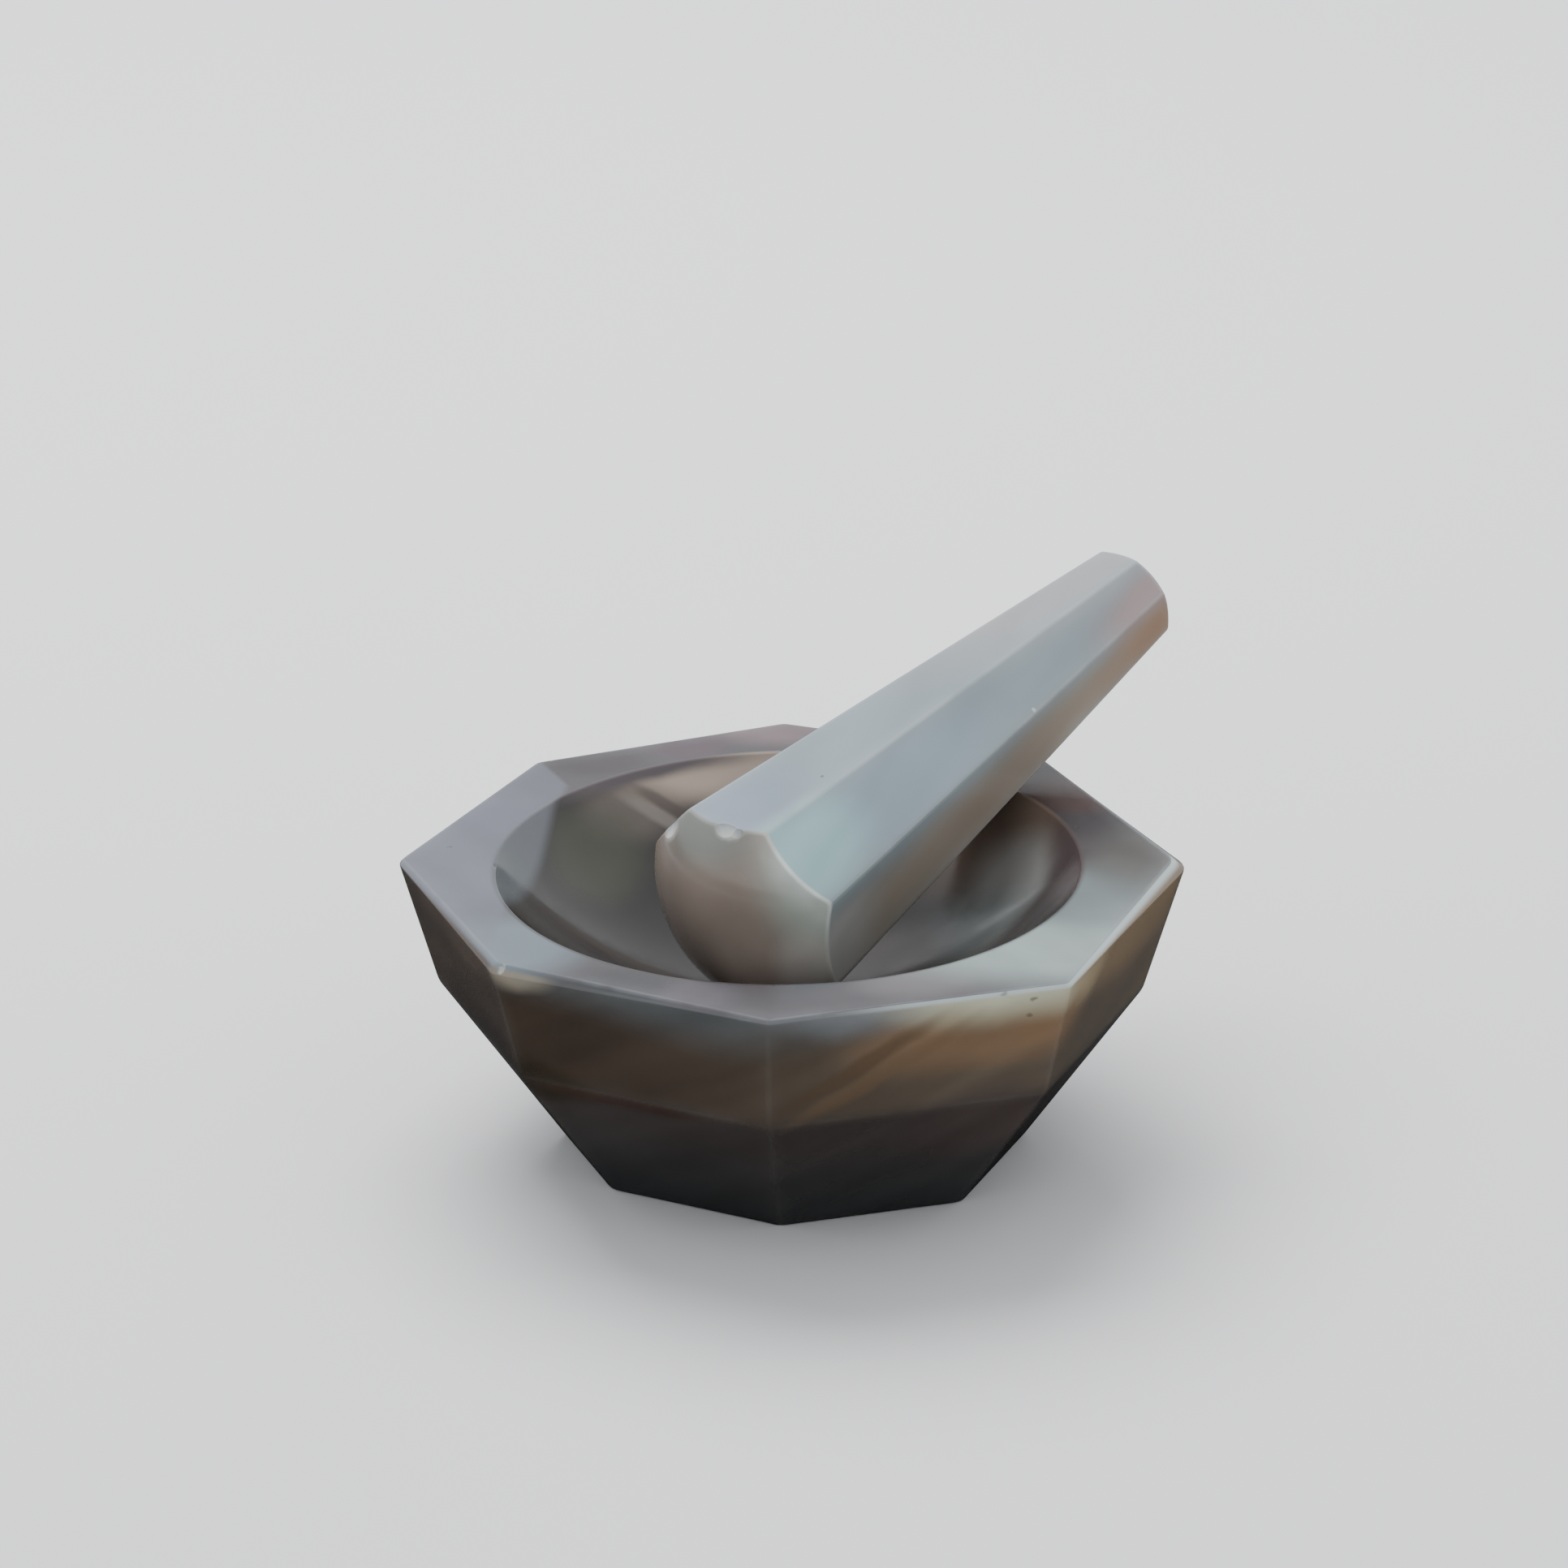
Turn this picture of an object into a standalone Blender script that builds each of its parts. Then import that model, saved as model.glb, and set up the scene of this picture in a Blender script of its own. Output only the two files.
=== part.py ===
"""Octagonal agate mortar with its pestle resting in the bowl.

Metres, +Z up. The origin is on the table, on the bowl's axis. The mortar is one
block of stone: two bands of eight ground facets, a flat rim and a round bowl. The
pestle is one tapering octagonal stick with a shallow dome ground on each end. It
lies with its head on the bowl and its shaft on the bowl's edge, and it is swept
round the bowl's axis.
"""

import math

import bmesh
import bpy
from mathutils import Matrix

MM = 0.001
SIDES = 8

# Mortar: overall shape.
HEIGHT = 41.8 * MM
RIM_RADIUS = 55.1 * MM  # axis to an even corner of the rim, which makes it 100 mm across flats
GIRDLE_HEIGHT = 23.4 * MM  # where the upper facets meet the lower ones
OUTLINE_TURN = math.radians(-2.4)

# The outline is ground by hand, so no corner is quite in its even place. One entry
# for each corner, anticlockwise from the front: degrees round, millimetres outward,
# then how far the rim's chamfer cuts in and down there, in millimetres.
RIM_CORNERS = (
    (-0.8, -1.6, 0.5, 0.5),
    (-1.1, 2.0, 0.6, 0.6),
    (1.8, 1.3, 2.2, 1.2),
    (2.4, -2.2, 0.6, 0.5),
    (2.6, -2.4, 0.5, 0.5),
    (0.2, -1.7, 0.5, 0.5),
    (-1.7, 0.0, 0.7, 0.6),
    (-3.3, -2.4, 1.4, 1.4),
)

# How far inside the rim's side each facet lies at the girdle and at the foot, in
# millimetres. The first side runs from the front corner to the next one anticlockwise.
SIDE_INSETS = (
    (5.7, 22.6),
    (5.0, 21.2),
    (7.2, 21.1),
    (5.4, 21.3),
    (5.4, 21.3),
    (4.7, 21.2),
    (4.8, 20.2),
    (5.1, 21.4),
)
RIDGE_ROUNDING = 0.3 * MM

# Mortar: bowl.
BOWL_RADIUS = 41.0 * MM
BOWL_DEPTH = 19.75 * MM
BOWL_LIP = 0.6 * MM  # rounding where the bowl meets the rim
BOWL_STEPS = 96
BOWL_RINGS = 16
LIP_RINGS = 3

# Pestle: section, taper and domes. The head station and the hand station are where
# the ridges end and the domes begin.
HEAD_RADIUS = 17.2 * MM
HAND_RADIUS = 8.0 * MM
STATION_GAP = 85.2 * MM
HEAD_DOME_RADIUS = 21.5 * MM
HAND_DOME_RADIUS = 13.3 * MM
PESTLE_CORNERS = (
    (0.0, 0.0),
    (0.0, 0.0),
    (0.0, -0.1),
    (-3.0, -0.1),
    (0.5, 0.1),
    (0.0, 0.5),
    (3.0, -0.4),
    (0.0, 0.0),
)
DOME_STEPS = 48
DOME_RINGS = 8

# Pestle: how it lies. Its axis rises at this slope from the head, towards this
# compass direction, and it is turned a little about itself.
PESTLE_SLOPE = math.radians(15.1)
PESTLE_HEADING = math.radians(47.6)
PESTLE_ROLL = math.radians(1.6)
HEAD_STATION = (-5.5 * MM, -10.8 * MM, 39.3 * MM)


def clear_scene():
    for scene_object in list(bpy.data.objects):
        bpy.data.objects.remove(scene_object, do_unlink=True)


def new_collection(name):
    collection = bpy.data.collections.new(name)
    bpy.context.scene.collection.children.link(collection)
    return collection


def stone_material(name, colour, roughness):
    material = bpy.data.materials.new(name)
    material.use_nodes = True
    shader = material.node_tree.nodes["Principled BSDF"]
    shader.inputs["Base Color"].default_value = (*colour, 1.0)
    shader.inputs["Roughness"].default_value = roughness
    shader.inputs["Metallic"].default_value = 0.0
    material.diffuse_color = (*colour, 1.0)
    return material


def octagon(radius, corners, turn):
    """Corner points of a hand-ground octagon, anticlockwise from the turn angle."""
    points = []
    for index, (degrees_round, millimetres_out, *_) in enumerate(corners):
        angle = turn + index * math.tau / SIDES + math.radians(degrees_round)
        reach = radius + millimetres_out * MM
        points.append((reach * math.cos(angle), reach * math.sin(angle)))
    return points


def scaled(points, factor):
    return [(x * factor, y * factor) for x, y in points]


def inset_outline(points, insets):
    """Move each side of an outline inward by its own inset. Sides stay parallel."""
    sides = []
    for index, (x, y) in enumerate(points):
        next_x, next_y = points[(index + 1) % SIDES]
        length = math.hypot(next_x - x, next_y - y)
        normal = ((next_y - y) / length, (x - next_x) / length)
        sides.append((normal, normal[0] * x + normal[1] * y - insets[index]))
    return [crossing(sides[index - 1], sides[index]) for index in range(SIDES)]


def crossing(first, second):
    """The point where two lines cross, each given as (unit normal, distance)."""
    (ax, ay), a_distance = first
    (bx, by), b_distance = second
    spread = ax * by - ay * bx
    return (
        (a_distance * by - b_distance * ay) / spread,
        (b_distance * ax - a_distance * bx) / spread,
    )


def stacked_octagons(name, rings):
    """One closed solid through a stack of (height, corner points) octagons."""
    shape = bmesh.new()
    ring = bmesh.ops.create_circle(shape, segments=SIDES, radius=1.0)["verts"]
    place_ring(ring, *rings[0])
    shape.faces.new(list(reversed(ring)))
    for height, points in rings[1:]:
        ring = raise_ring(shape, ring)
        place_ring(ring, height, points)
    shape.faces.new(ring)
    bmesh.ops.recalc_face_normals(shape, faces=shape.faces)
    mesh = bpy.data.meshes.new(name)
    shape.to_mesh(mesh)
    shape.free()
    return mesh


def raise_ring(shape, ring):
    """Copy a ring of corners and join the copy to it with a band of faces."""
    upper = [shape.verts.new(corner.co) for corner in ring]
    for index in range(SIDES):
        following = (index + 1) % SIDES
        shape.faces.new((ring[index], ring[following], upper[following], upper[index]))
    return upper


def place_ring(ring, height, points):
    """Set a ring on its points. A point with a third number stands that much lower."""
    for corner, (x, y, *drop) in zip(ring, points):
        corner.co = (x, y, height - sum(drop))


def add_object(collection, name, mesh, material=None):
    new_object = bpy.data.objects.new(name, mesh)
    collection.objects.link(new_object)
    if material:
        mesh.materials.append(material)
    return new_object


def turned_cutter(collection, name, profile, steps):
    """A solid of revolution about Z. The profile runs top to bottom at +X."""
    mesh = bpy.data.meshes.new(name)
    edges = [(index, index + 1) for index in range(len(profile) - 1)]
    mesh.from_pydata([(x, 0.0, z) for x, z in profile], edges, [])
    cutter = add_object(collection, name, mesh)
    screw = cutter.modifiers.new("turn", "SCREW")
    screw.steps = steps
    screw.render_steps = steps
    screw.use_merge_vertices = True
    screw.merge_threshold = 0.00001
    cutter.display_type = "WIRE"
    cutter.hide_render = True
    return cutter


def arc(centre, radius, start, end, count):
    """Points along an arc in the (x, z) plane, angles in radians from +X."""
    points = []
    for index in range(count + 1):
        angle = start + (end - start) * index / count
        points.append((centre[0] + radius * math.cos(angle), centre[1] + radius * math.sin(angle)))
    return points


def bevel_ridges(target, width, segments, limit_degrees):
    bevel = target.modifiers.new("soft ridges", "BEVEL")
    bevel.width = width
    bevel.segments = segments
    bevel.limit_method = "ANGLE"
    bevel.angle_limit = math.radians(limit_degrees)
    bevel.harden_normals = False


def boolean(target, cutter, operation):
    modifier = target.modifiers.new(operation.lower(), "BOOLEAN")
    modifier.operation = operation
    modifier.solver = "EXACT"
    modifier.object = cutter


def bowl_profile():
    """Section of the bowl: a spherical floor with a rounded lip, closed above the rim."""
    sphere_radius = (BOWL_RADIUS ** 2 + BOWL_DEPTH ** 2) / (2.0 * BOWL_DEPTH)
    centre_height = HEIGHT - BOWL_DEPTH + sphere_radius
    edge_angle = math.atan2(HEIGHT - centre_height, BOWL_RADIUS)
    wall_slope = math.pi / 2.0 + edge_angle
    tangent = BOWL_LIP * math.tan(wall_slope / 2.0)
    lip_centre = (BOWL_RADIUS + tangent, HEIGHT - BOWL_LIP)
    lip = arc(lip_centre, BOWL_LIP, math.pi / 2.0, math.pi / 2.0 + wall_slope, LIP_RINGS)
    touch_angle = math.atan2(lip[-1][1] - centre_height, lip[-1][0])
    floor = arc((0.0, centre_height), sphere_radius, touch_angle, -math.pi / 2.0, BOWL_RINGS)
    floor[-1] = (0.0, HEIGHT - BOWL_DEPTH)
    above = HEIGHT + 5.0 * MM
    return [(0.0, above), (lip[0][0], above)] + lip + floor[1:]


def pestle_profile():
    """Section of the turned envelope whose ends are the pestle's two domes."""
    head_centre = math.sqrt(HEAD_DOME_RADIUS ** 2 - HEAD_RADIUS ** 2)
    hand_centre = STATION_GAP - math.sqrt(HAND_DOME_RADIUS ** 2 - HAND_RADIUS ** 2)
    clear_of_shaft = math.acos((HAND_RADIUS + 1.5 * MM) / HAND_DOME_RADIUS)
    hand = arc((0.0, hand_centre), HAND_DOME_RADIUS, math.pi / 2.0, clear_of_shaft, DOME_RINGS)
    head = arc((0.0, head_centre), HEAD_DOME_RADIUS, 0.0, -math.pi / 2.0, DOME_RINGS * 2)
    hand[0] = (0.0, hand_centre + HAND_DOME_RADIUS)
    head[-1] = (0.0, head_centre - HEAD_DOME_RADIUS)
    return hand + head


def mortar_rings():
    """The mortar's octagons from the foot up, with the chamfer as the last step."""
    outline = octagon(RIM_RADIUS, RIM_CORNERS, -math.pi / 2.0 + OUTLINE_TURN)
    girdle = inset_outline(outline, [inset * MM for inset, _ in SIDE_INSETS])
    foot = inset_outline(outline, [inset * MM for _, inset in SIDE_INSETS])
    edge = []
    rim = []
    for index, (_, _, cut_in, cut_down) in enumerate(RIM_CORNERS):
        (x, y), (girdle_x, girdle_y) = outline[index], girdle[index]
        share = cut_down * MM / (HEIGHT - GIRDLE_HEIGHT)
        edge.append((x + (girdle_x - x) * share, y + (girdle_y - y) * share, cut_down * MM))
        rim.append(inset_outline(outline, [cut_in * MM] * SIDES)[index])
    return [(0.0, foot), (GIRDLE_HEIGHT, girdle), (HEIGHT, edge), (HEIGHT, rim)]


def build_mortar(parts, cutters):
    material = stone_material("mortar_agate", (0.36, 0.35, 0.34), 0.16)
    mesh = stacked_octagons("mortar", mortar_rings())
    mortar = add_object(parts, "mortar", mesh, material)
    bevel_ridges(mortar, RIDGE_ROUNDING, 2, 12.0)
    bowl = turned_cutter(cutters, "bowl_cutter", bowl_profile(), BOWL_STEPS)
    boolean(mortar, bowl, "DIFFERENCE")
    return mortar


def pestle_placement():
    """Stands the pestle's own +Z, head to hand end, along the way it lies."""
    turn = Matrix.Rotation(PESTLE_HEADING, 4, "Z")
    lean = Matrix.Rotation(math.pi / 2.0 - PESTLE_SLOPE, 4, "Y")
    roll = Matrix.Rotation(PESTLE_ROLL, 4, "Z")
    return Matrix.Translation(HEAD_STATION) @ turn @ lean @ roll


def build_pestle(parts, cutters, stir_axis):
    section = octagon(HEAD_RADIUS, PESTLE_CORNERS, math.pi / SIDES)
    overrun = HEAD_DOME_RADIUS / 2.0
    taper = (HEAD_RADIUS - HAND_RADIUS) / STATION_GAP / HEAD_RADIUS
    rings = [
        (-overrun, scaled(section, 1.0 + taper * overrun)),
        (STATION_GAP + overrun, scaled(section, 1.0 - taper * (STATION_GAP + overrun))),
    ]
    material = stone_material("pestle_agate", (0.47, 0.49, 0.50), 0.16)
    pestle = add_object(parts, "pestle", stacked_octagons("pestle", rings), material)
    bevel_ridges(pestle, RIDGE_ROUNDING, 2, 12.0)
    envelope = turned_cutter(cutters, "pestle_domes", pestle_profile(), DOME_STEPS)
    boolean(pestle, envelope, "INTERSECT")
    pestle.parent = stir_axis
    placement = stir_axis.matrix_world.inverted() @ pestle_placement()
    pestle.matrix_local = placement
    envelope.parent = pestle
    return pestle


def build_stir_axis(parts):
    """The bowl's axis, which the pestle is swept round."""
    stir_axis = bpy.data.objects.new("stir_axis", None)
    stir_axis.empty_display_size = 20.0 * MM
    parts.objects.link(stir_axis)
    return stir_axis


def smooth_shading(target):
    target.data.shade_smooth()
    target.data.set_sharp_from_angle(angle=math.radians(20.0))


def main():
    clear_scene()
    parts = new_collection("mortar_and_pestle")
    cutters = new_collection("cutters")
    stir_axis = build_stir_axis(parts)
    mortar = build_mortar(parts, cutters)
    pestle = build_pestle(parts, cutters, stir_axis)
    smooth_shading(mortar)
    smooth_shading(pestle)


main()
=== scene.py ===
"""Looks of an octagonal agate mortar and the pestle resting in its bowl.

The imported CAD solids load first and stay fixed. Each is stood for by one visual piece
of the same shape and size, with soft polished ridges, small chips and a banded agate
material. Lengths are in metres, and MM turns millimetres into them.
"""

import math

import bmesh
import bpy
from mathutils import Euler, Matrix, Vector
from mathutils.kdtree import KDTree


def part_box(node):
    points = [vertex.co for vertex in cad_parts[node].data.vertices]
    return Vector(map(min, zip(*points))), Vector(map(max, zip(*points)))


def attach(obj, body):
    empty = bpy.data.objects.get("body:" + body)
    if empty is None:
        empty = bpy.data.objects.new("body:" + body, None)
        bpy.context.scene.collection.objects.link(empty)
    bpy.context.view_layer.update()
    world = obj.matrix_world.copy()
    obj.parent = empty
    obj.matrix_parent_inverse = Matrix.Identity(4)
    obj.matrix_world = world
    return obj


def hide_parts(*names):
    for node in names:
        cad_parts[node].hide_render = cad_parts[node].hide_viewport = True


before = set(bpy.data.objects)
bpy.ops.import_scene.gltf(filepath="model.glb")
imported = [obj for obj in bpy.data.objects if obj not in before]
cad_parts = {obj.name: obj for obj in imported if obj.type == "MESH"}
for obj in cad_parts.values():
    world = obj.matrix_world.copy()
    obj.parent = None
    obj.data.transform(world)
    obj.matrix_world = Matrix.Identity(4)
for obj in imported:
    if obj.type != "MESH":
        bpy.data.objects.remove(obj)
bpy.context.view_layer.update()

MM = 0.001
SIDES = 8

# Mortar: the same driving sizes as the CAD solid. One entry for each corner of the
# rim, anticlockwise from the front: degrees round, millimetres outward, then how far
# the rim's chamfer cuts in and down there.
MORTAR_LOW, MORTAR_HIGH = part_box("mortar")
HEIGHT = MORTAR_HIGH.z - MORTAR_LOW.z
RIM_RADIUS = 55.1 * MM
GIRDLE_HEIGHT = 23.4 * MM
OUTLINE_TURN = math.radians(-2.4)
RIM_CORNERS = (
    (-0.8, -1.6, 0.5, 0.5),
    (-1.1, 2.0, 0.6, 0.6),
    (1.8, 1.3, 2.2, 1.2),
    (2.4, -2.2, 0.6, 0.5),
    (2.6, -2.4, 0.5, 0.5),
    (0.2, -1.7, 0.5, 0.5),
    (-1.7, 0.0, 0.7, 0.6),
    (-3.3, -2.4, 1.4, 1.4),
)

# How far inside the rim's side each facet lies at the girdle and at the foot, in
# millimetres. The first side runs from the front corner to the next one anticlockwise.
SIDE_INSETS = (
    (5.7, 22.6),
    (5.0, 21.2),
    (7.2, 21.1),
    (5.4, 21.3),
    (5.4, 21.3),
    (4.7, 21.2),
    (4.8, 20.2),
    (5.1, 21.4),
)
BOWL_RADIUS = 41.0 * MM
BOWL_DEPTH = 19.75 * MM
BOWL_LIP = 0.6 * MM

# Pestle: the same driving sizes and the same place as the CAD solid.
HEAD_RADIUS = 17.2 * MM
HAND_RADIUS = 8.0 * MM
STATION_GAP = 85.2 * MM
HEAD_DOME_RADIUS = 21.5 * MM
HAND_DOME_RADIUS = 13.3 * MM
PESTLE_CORNERS = (
    (0.0, 0.0),
    (0.0, 0.0),
    (0.0, -0.1),
    (-3.0, -0.1),
    (0.5, 0.1),
    (0.0, 0.5),
    (3.0, -0.4),
    (0.0, 0.0),
)
PESTLE_SLOPE = math.radians(15.1)
PESTLE_HEADING = math.radians(47.6)
PESTLE_ROLL = math.radians(1.6)
HEAD_STATION = Vector((-5.5, -10.8, 39.3)) * MM

# Softness of the polished ridges, as the length each one takes off a facet. The upright
# corners of the rim each have their own, in the order of RIM_CORNERS.
RIDGE_CUT = 0.7 * MM
CORNER_CUTS = [cut * MM for cut in (0.7, 0.7, 2.4, 0.7, 0.7, 0.7, 1.3, 1.0)]
FOOT_CUT = 1.0 * MM
FOOT_EDGE_CUT = 0.6 * MM
BORDER_CUT = 0.5 * MM
CHAMFER_CUT = 0.2 * MM

# Mesh density.
SIDE_STEPS = 22
CORNER_STEPS = 4
FILLET_STEPS = 4
FACET_ROWS = 10
FOOT_ROWS = 4
CHAMFER_ROWS = 2
SHAFT_ROWS = 30
FLOOR_ROWS = 36
DOME_ROWS = 20
RIDGE_SPACING = 0.4 * MM

# Small shell-shaped chips, as (centre, radii, turn in degrees), in millimetres. The
# mortar's are in the frame's axes and the pestle's in its own.
MORTAR_CHIPS = (
    ((-39.35, -33.55, 41.7), (0.8, 0.8, 1.1), (0.0, 0.0, 0.0)),
    ((56.0, -2.3, 41.6), (1.3, 1.5, 1.0), (0.0, 0.0, 0.0)),
    ((-40.7, 1.0, 42.55), (1.0, 1.7, 1.0), (0.0, 0.0, 0.0)),
    ((12.6, 50.9, 42.2), (1.6, 1.0, 0.9), (0.0, 0.0, -10.0)),
    ((-34.2, 40.2, 42.3), (1.0, 1.0, 1.0), (0.0, 0.0, 0.0)),
    ((29.0, 41.3, 23.1), (1.2, 0.8, 0.8), (0.0, 0.0, -30.0)),
)
PESTLE_CHIPS = (
    ((-18.75, -0.9, -3.45), (4.0, 4.0, 4.0), (0.0, 0.0, 0.0)),
    ((-17.5, -3.0, -3.0), (2.6, 2.6, 2.6), (0.0, 0.0, 0.0)),
    ((-14.5, 12.6, -3.7), (4.5, 4.5, 4.5), (0.0, 0.0, 0.0)),
    ((-9.6, -14.4, -1.8), (1.0, 1.2, 0.9), (0.0, 0.0, 0.0)),
    ((-7.6, -3.9, 87.0), (0.8, 1.1, 0.9), (0.0, 0.0, 0.0)),
)
CHIP_SMOOTHNESS = 4

# Creases steeper than these stay crisp, such as the broken edges of chips.
MORTAR_SHARP_ANGLE = math.radians(26.0)
PESTLE_SHARP_ANGLE = math.radians(13.0)


# --- shape helpers -----------------------------------------------------------


def octagon(radius, corners, turn):
    """Corners of a hand-ground octagon, anticlockwise from the turn angle."""
    points = []
    for index, (degrees_round, millimetres_out, *_) in enumerate(corners):
        angle = turn + index * math.tau / SIDES + math.radians(degrees_round)
        reach = radius + millimetres_out * MM
        points.append(Vector((reach * math.cos(angle), reach * math.sin(angle), 0.0)))
    return points


def inset_outline(points, insets):
    """Move each side of an outline inward by its own inset. Sides stay parallel."""
    sides = []
    for index, point in enumerate(points):
        along = points[(index + 1) % SIDES] - point
        normal = Vector((along.y, -along.x, 0.0)).normalized()
        sides.append((normal, normal.dot(point) - insets[index]))
    return [crossing(sides[index - 1], sides[index]) for index in range(SIDES)]


def crossing(first, second):
    """The point where two upright planes cross, each given as (unit normal, distance)."""
    (a, a_distance), (b, b_distance) = first, second
    spread = a.x * b.y - a.y * b.x
    x = (a_distance * b.y - b_distance * a.y) / spread
    y = (b_distance * a.x - a_distance * b.x) / spread
    return Vector((x, y, 0.0))


def raised(points, height):
    return [point + Vector((0.0, 0.0, height)) for point in points]


def fillet(before, corner, after, cut, steps):
    """Points of a soft turn at corner, starting and ending `cut` away from it."""
    start = corner + (before - corner).normalized() * cut
    end = corner + (after - corner).normalized() * cut
    points = []
    for index in range(steps + 1):
        share = index / steps
        inward = start.lerp(corner, share)
        outward = corner.lerp(end, share)
        points.append(inward.lerp(outward, share))
    return points


def soft_outline(corners, cuts):
    """A closed outline with softened corners: even points on each side, arcs between."""
    count = len(corners)
    turns = []
    for index, corner in enumerate(corners):
        before = corners[index - 1]
        after = corners[(index + 1) % count]
        turns.append(fillet(before, corner, after, cuts[index], CORNER_STEPS))
    outline = []
    for index in range(count):
        following = turns[(index + 1) % count]
        outline.extend(turns[index])
        start, end = turns[index][-1], following[0]
        for step in range(1, SIDE_STEPS):
            outline.append(start.lerp(end, step / SIDE_STEPS))
    return outline


def soft_path(stations):
    """A path through (point, cut, steps to the next station), softened where cut is set."""
    path = []
    for index, (point, cut, steps) in enumerate(stations):
        if cut:
            turn = fillet(stations[index - 1][0], point, stations[index + 1][0], cut, FILLET_STEPS)
        else:
            turn = [point]
        if path:
            start = path[-1]
            spread = stations[index - 1][2]
            path.extend(start.lerp(turn[0], step / spread) for step in range(1, spread))
        path.extend(turn)
    return path


def skin(name, columns):
    """A closed mesh from columns of points that share their first and last points."""
    shape = bmesh.new()
    bottom = shape.verts.new(columns[0][0])
    top = shape.verts.new(columns[0][-1])
    grid = [[shape.verts.new(point) for point in column[1:-1]] for column in columns]
    for index, left in enumerate(grid):
        right = grid[(index + 1) % len(grid)]
        shape.faces.new((bottom, right[0], left[0]))
        for row in range(len(left) - 1):
            shape.faces.new((left[row], right[row], right[row + 1], left[row + 1]))
        shape.faces.new((left[-1], right[-1], top))
    bmesh.ops.recalc_face_normals(shape, faces=shape.faces)
    mesh = bpy.data.meshes.new(name)
    shape.to_mesh(mesh)
    shape.free()
    mesh.shade_smooth()
    return mesh


def along(first, second):
    """Points every RIDGE_SPACING from first to second."""
    count = max(1, round((second - first).length / RIDGE_SPACING))
    return [first.lerp(second, step / count) for step in range(count)]


def ring_ridges(corners):
    ridges = []
    for index, corner in enumerate(corners):
        ridges.extend(along(corners[index - 1], corner))
    return ridges


def mark_ridges(mesh, ridges):
    """Store how far each vertex is from the nearest ridge, in millimetres."""
    tree = KDTree(len(ridges))
    for index, point in enumerate(ridges):
        tree.insert(point, index)
    tree.balance()
    distances = mesh.attributes.new("ridge_distance", "FLOAT", "POINT")
    for vertex, entry in zip(mesh.vertices, distances.data):
        entry.value = tree.find(vertex.co)[2] / MM


def chip_cutter(centre, radii, turn):
    shape = bmesh.new()
    bmesh.ops.create_icosphere(shape, subdivisions=CHIP_SMOOTHNESS, radius=1.0)
    rotation = Euler([math.radians(angle) for angle in turn])
    placement = Matrix.LocRotScale(Vector(centre) * MM, rotation, Vector(radii) * MM)
    bmesh.ops.transform(shape, matrix=placement, verts=shape.verts)
    mesh = bpy.data.meshes.new("chip")
    shape.to_mesh(mesh)
    shape.free()
    return bpy.data.objects.new("chip", mesh)


def chipped(mesh, chips, sharp_angle):
    """The mesh with each chip broken out of it."""
    body = bpy.data.objects.new("chipped", mesh)
    cutters = [chip_cutter(*chip) for chip in chips]
    for helper in [body, *cutters]:
        bpy.context.scene.collection.objects.link(helper)
    for cutter in cutters:
        cut = body.modifiers.new("chip", "BOOLEAN")
        cut.operation = "DIFFERENCE"
        cut.solver = "EXACT"
        cut.object = cutter
    evaluated = body.evaluated_get(bpy.context.evaluated_depsgraph_get())
    result = bpy.data.meshes.new_from_object(evaluated)
    for helper in [body, *cutters]:
        bpy.data.objects.remove(helper)
    result.shade_smooth()
    result.set_sharp_from_angle(angle=sharp_angle)
    return result


def add_piece(name, mesh, node, material):
    piece = bpy.data.objects.new(name, mesh)
    bpy.context.scene.collection.objects.link(piece)
    piece.data.materials.append(material)
    weights = piece.modifiers.new("facet normals", "WEIGHTED_NORMAL")
    weights.keep_sharp = True
    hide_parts(node)
    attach(piece, node)
    return piece


# --- mortar --------------------------------------------------------------------


def mortar_corners():
    """Corner points at the foot, the girdle, the chamfer's lower edge and the rim."""
    corners = octagon(RIM_RADIUS, RIM_CORNERS, -math.pi / 2.0 + OUTLINE_TURN)
    girdle = raised(inset_outline(corners, [inset * MM for inset, _ in SIDE_INSETS]), GIRDLE_HEIGHT)
    foot = inset_outline(corners, [inset * MM for _, inset in SIDE_INSETS])
    top = raised(corners, HEIGHT)
    edge = []
    rim = []
    for index, (_, _, cut_in, cut_down) in enumerate(RIM_CORNERS):
        share = cut_down * MM / (HEIGHT - GIRDLE_HEIGHT)
        edge.append(top[index].lerp(girdle[index], share))
        rim.append(inset_outline(corners, [cut_in * MM] * SIDES)[index])
    return foot, girdle, edge, raised(rim, HEIGHT)


def mortar_columns():
    foot_corners, girdle_corners, edge_corners, rim_corners = mortar_corners()
    outlines = zip(
        soft_outline(foot_corners, [FOOT_CUT] * SIDES),
        soft_outline(girdle_corners, [RIDGE_CUT] * SIDES),
        soft_outline(edge_corners, CORNER_CUTS),
        soft_outline(rim_corners, CORNER_CUTS),
    )
    columns = []
    for foot, girdle, edge, rim in outlines:
        bowl = bowl_section(math.atan2(rim.y, rim.x))
        stations = [
            (Vector((0.0, 0.0, 0.0)), 0.0, FOOT_ROWS),
            (foot, FOOT_EDGE_CUT, FACET_ROWS),
            (girdle, RIDGE_CUT, FACET_ROWS),
            (edge, CHAMFER_CUT, CHAMFER_ROWS),
            (rim, CHAMFER_CUT, FACET_ROWS),
            (bowl[0], 0.0, 1),
        ]
        columns.append(soft_path(stations) + bowl[1:])
    return columns


def mortar_ridges():
    foot, girdle, edge, rim = mortar_corners()
    ridges = ring_ridges(girdle) + ring_ridges(edge) + ring_ridges(rim)
    for low, middle, high in zip(foot, girdle, edge):
        ridges.extend(along(low, middle) + along(middle, high))
    return ridges


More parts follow.
